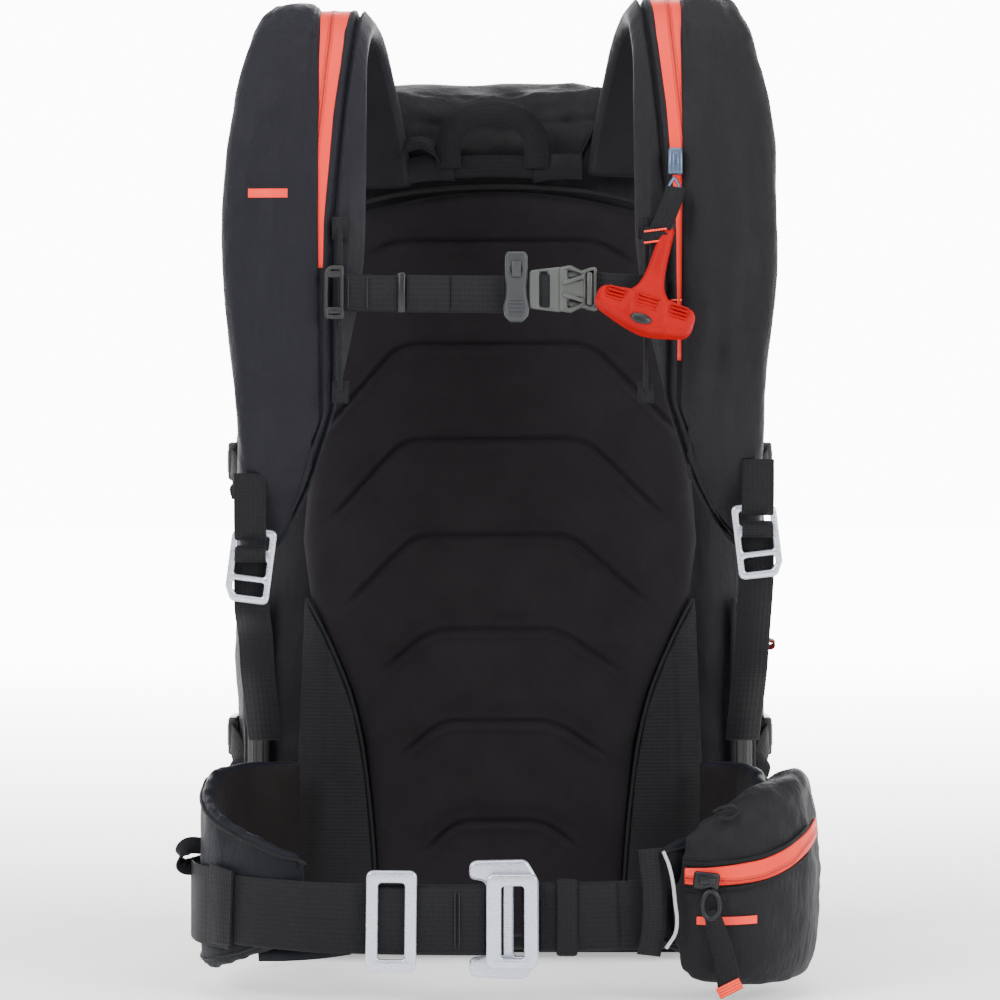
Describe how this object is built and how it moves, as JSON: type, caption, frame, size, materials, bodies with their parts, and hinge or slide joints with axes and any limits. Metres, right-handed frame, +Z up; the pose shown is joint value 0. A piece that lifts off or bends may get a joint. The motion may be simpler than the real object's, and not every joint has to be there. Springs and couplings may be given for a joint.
{
  "type": "avalanche airbag backpack",
  "caption": "Avalanche airbag backpack seen from its harness side, with a moulded back panel, shoulder straps, chest strap, metal belt buckle and pull trigger.",
  "frame": {"origin": "centre of the flat base panel's underside", "axes": "+Z up the pack, -Y out of the harness towards the wearer, +X to the wearer's left"},
  "size_m": [0.3648, 0.3999, 0.5702],
  "materials": {
    "bag_fabric": "matt ripstop nylon",
    "base_fabric": "matt heavy coated nylon",
    "panel_fabric": "matt moulded foam panel, dark aubergine black",
    "spacer_mesh": "matt ribbed spacer fabric",
    "frame_plastic": "matt",
    "aluminium": "satin anodised",
    "airbag_fabric": "folded coated nylon",
    "cylinder": "satin painted",
    "hose_rubber": "matt",
    "webbing": "woven webbing",
    "orange_zip": "coated zip tape",
    "black_zip": "coated zip tape",
    "zip_metal": "satin",
    "buckle_plastic": "moulded acetal",
    "whistle_plastic": "moulded acetal",
    "trigger_plastic": "moulded nylon",
    "cable": "matt sleeve"
  },
  "bodies": {
    "pack": {"bag_shell": "bag_fabric", "base_panel": "base_fabric", "back_panel": "panel_fabric", "waist_wedges": "spacer_mesh", "frame_sheet": "frame_plastic", "frame_stays": "aluminium", "compartment_floor": "base_fabric", "airbag": "airbag_fabric", "air_cylinder": "cylinder", "valve_head": "aluminium", "inflation_hose": "hose_rubber", "trigger_cable": "cable", "tool_pocket": "bag_fabric", "tool_pocket_zip": "black_zip", "airbag_burst_zip": "black_zip", "side_zips": "black_zip", "compression_straps": "webbing", "compression_buckles": "buckle_plastic", "axe_loops": "webbing", "haul_loop_anchor": "webbing", "shoulder_strap_left": "bag_fabric", "shoulder_strap_right": "bag_fabric", "strap_zip_left": "orange_zip", "strap_zip_right": "orange_zip", "chest_rails": "cable", "load_webbing": "webbing", "wing_cradles": "spacer_mesh"},
    "haul_loop": {"haul_loop": "webbing"},
    "trigger": {"trigger_handle": "trigger_plastic", "trigger_stem": "trigger_plastic", "trigger_button": "buckle_plastic"},
    "sternum": {"chest_slider_left": "buckle_plastic", "chest_slider_right": "buckle_plastic", "chest_webbing_right": "webbing", "chest_keeper": "webbing", "chest_webbing_left": "webbing", "chest_buckle_socket": "buckle_plastic"},
    "sternum_plug": {"chest_buckle_plug": "buckle_plastic", "chest_whistle": "whistle_plastic"},
    "belt_right": {"hip_wing_right": "bag_fabric", "belt_webbing_right": "webbing", "belt_buckle_frame": "aluminium", "gear_loop": "webbing"},
    "belt_left": {"hip_wing_left": "bag_fabric", "hip_pocket": "bag_fabric", "hip_pocket_zip": "orange_zip", "belt_webbing_left": "webbing", "belt_buckle_hook": "aluminium", "belt_keeper": "webbing"},
    "belt_adjuster": {"belt_adjuster": "aluminium"},
    "hip_slider": {"hip_pocket_slider": "zip_metal"},
    "hip_pull": {"hip_pocket_pull": "webbing"},
    "strap_slider": {"strap_zip_slider": "zip_metal", "strap_zip_pull": "webbing"},
    "ladder_left": {"ladder_buckle_left": "aluminium"},
    "ladder_right": {"ladder_buckle_right": "aluminium"},
    "side_slider_left": {"side_zip_slider_left": "zip_metal"},
    "side_slider_right": {"side_zip_slider_right": "zip_metal"},
    "tool_slider": {"tool_pocket_slider": "zip_metal"}
  },
  "joints": [
    {"name": "haul_loop_hinge", "type": "hinge", "parent": "pack", "child": "haul_loop", "pos_m": [0, -0.095, 0.4725], "axis": [1, 0, 0], "range_deg": [0, 80]},
    {"name": "trigger_pull", "type": "slide", "parent": "pack", "child": "trigger", "axis": [-0.2699, -0.3299, -0.9046], "range_m": [0, 0.045]},
    {"name": "chest_strap_height", "type": "slide", "parent": "pack", "child": "sternum", "axis": [0, 0, 1], "range_m": [-0.035, 0.015]},
    {"name": "chest_buckle_release", "type": "slide", "parent": "sternum", "child": "sternum_plug", "axis": [-1, 0, 0], "range_m": [0, 0.026]},
    {"name": "belt_right_open", "type": "hinge", "parent": "pack", "child": "belt_right", "pos_m": [-0.12, -0.104, 0.05], "axis": [0, 0, -1], "range_deg": [0, 25]},
    {"name": "belt_left_open", "type": "hinge", "parent": "pack", "child": "belt_left", "pos_m": [0.12, -0.104, 0.05], "axis": [0, 0, 1], "range_deg": [0, 25]},
    {"name": "belt_adjust", "type": "slide", "parent": "belt_right", "child": "belt_adjuster", "axis": [1, 0, 0], "range_m": [-0.018, 0.018]},
    {"name": "hip_zip", "type": "slide", "parent": "belt_left", "child": "hip_slider", "axis": [1, 0, 0], "range_m": [-0.004, 0.016]},
    {"name": "hip_pull_swing", "type": "hinge", "parent": "hip_slider", "child": "hip_pull", "pos_m": [0.118, -0.2705, 0.0665], "axis": [-1, 0, 0], "range_deg": [0, 80]},
    {"name": "strap_zip", "type": "slide", "parent": "pack", "child": "strap_slider", "axis": [0, 0.2066, 0.9784], "range_m": [0, 0.03]},
    {"name": "ladder_left_tilt", "type": "hinge", "parent": "pack", "child": "ladder_left", "pos_m": [0.145, -0.203, 0.2715], "axis": [-1, 0, 0], "range_deg": [0, 12]},
    {"name": "ladder_right_tilt", "type": "hinge", "parent": "pack", "child": "ladder_right", "pos_m": [-0.1405, -0.203, 0.2575], "axis": [-1, 0, 0], "range_deg": [0, 12]},
    {"name": "side_zip_left", "type": "slide", "parent": "pack", "child": "side_slider_left", "axis": [0, 0, -1], "range_m": [-0.03, 0.06]},
    {"name": "side_zip_right", "type": "slide", "parent": "pack", "child": "side_slider_right", "axis": [0, 0, -1], "range_m": [-0.03, 0.06]},
    {"name": "tool_zip", "type": "slide", "parent": "pack", "child": "tool_slider", "axis": [0, 0, -1], "range_m": [0, 0.1]}
  ],
  "couplings": [
    {"joint": "belt_left_open", "follows": "belt_right_open", "ratio": 1}
  ]
}
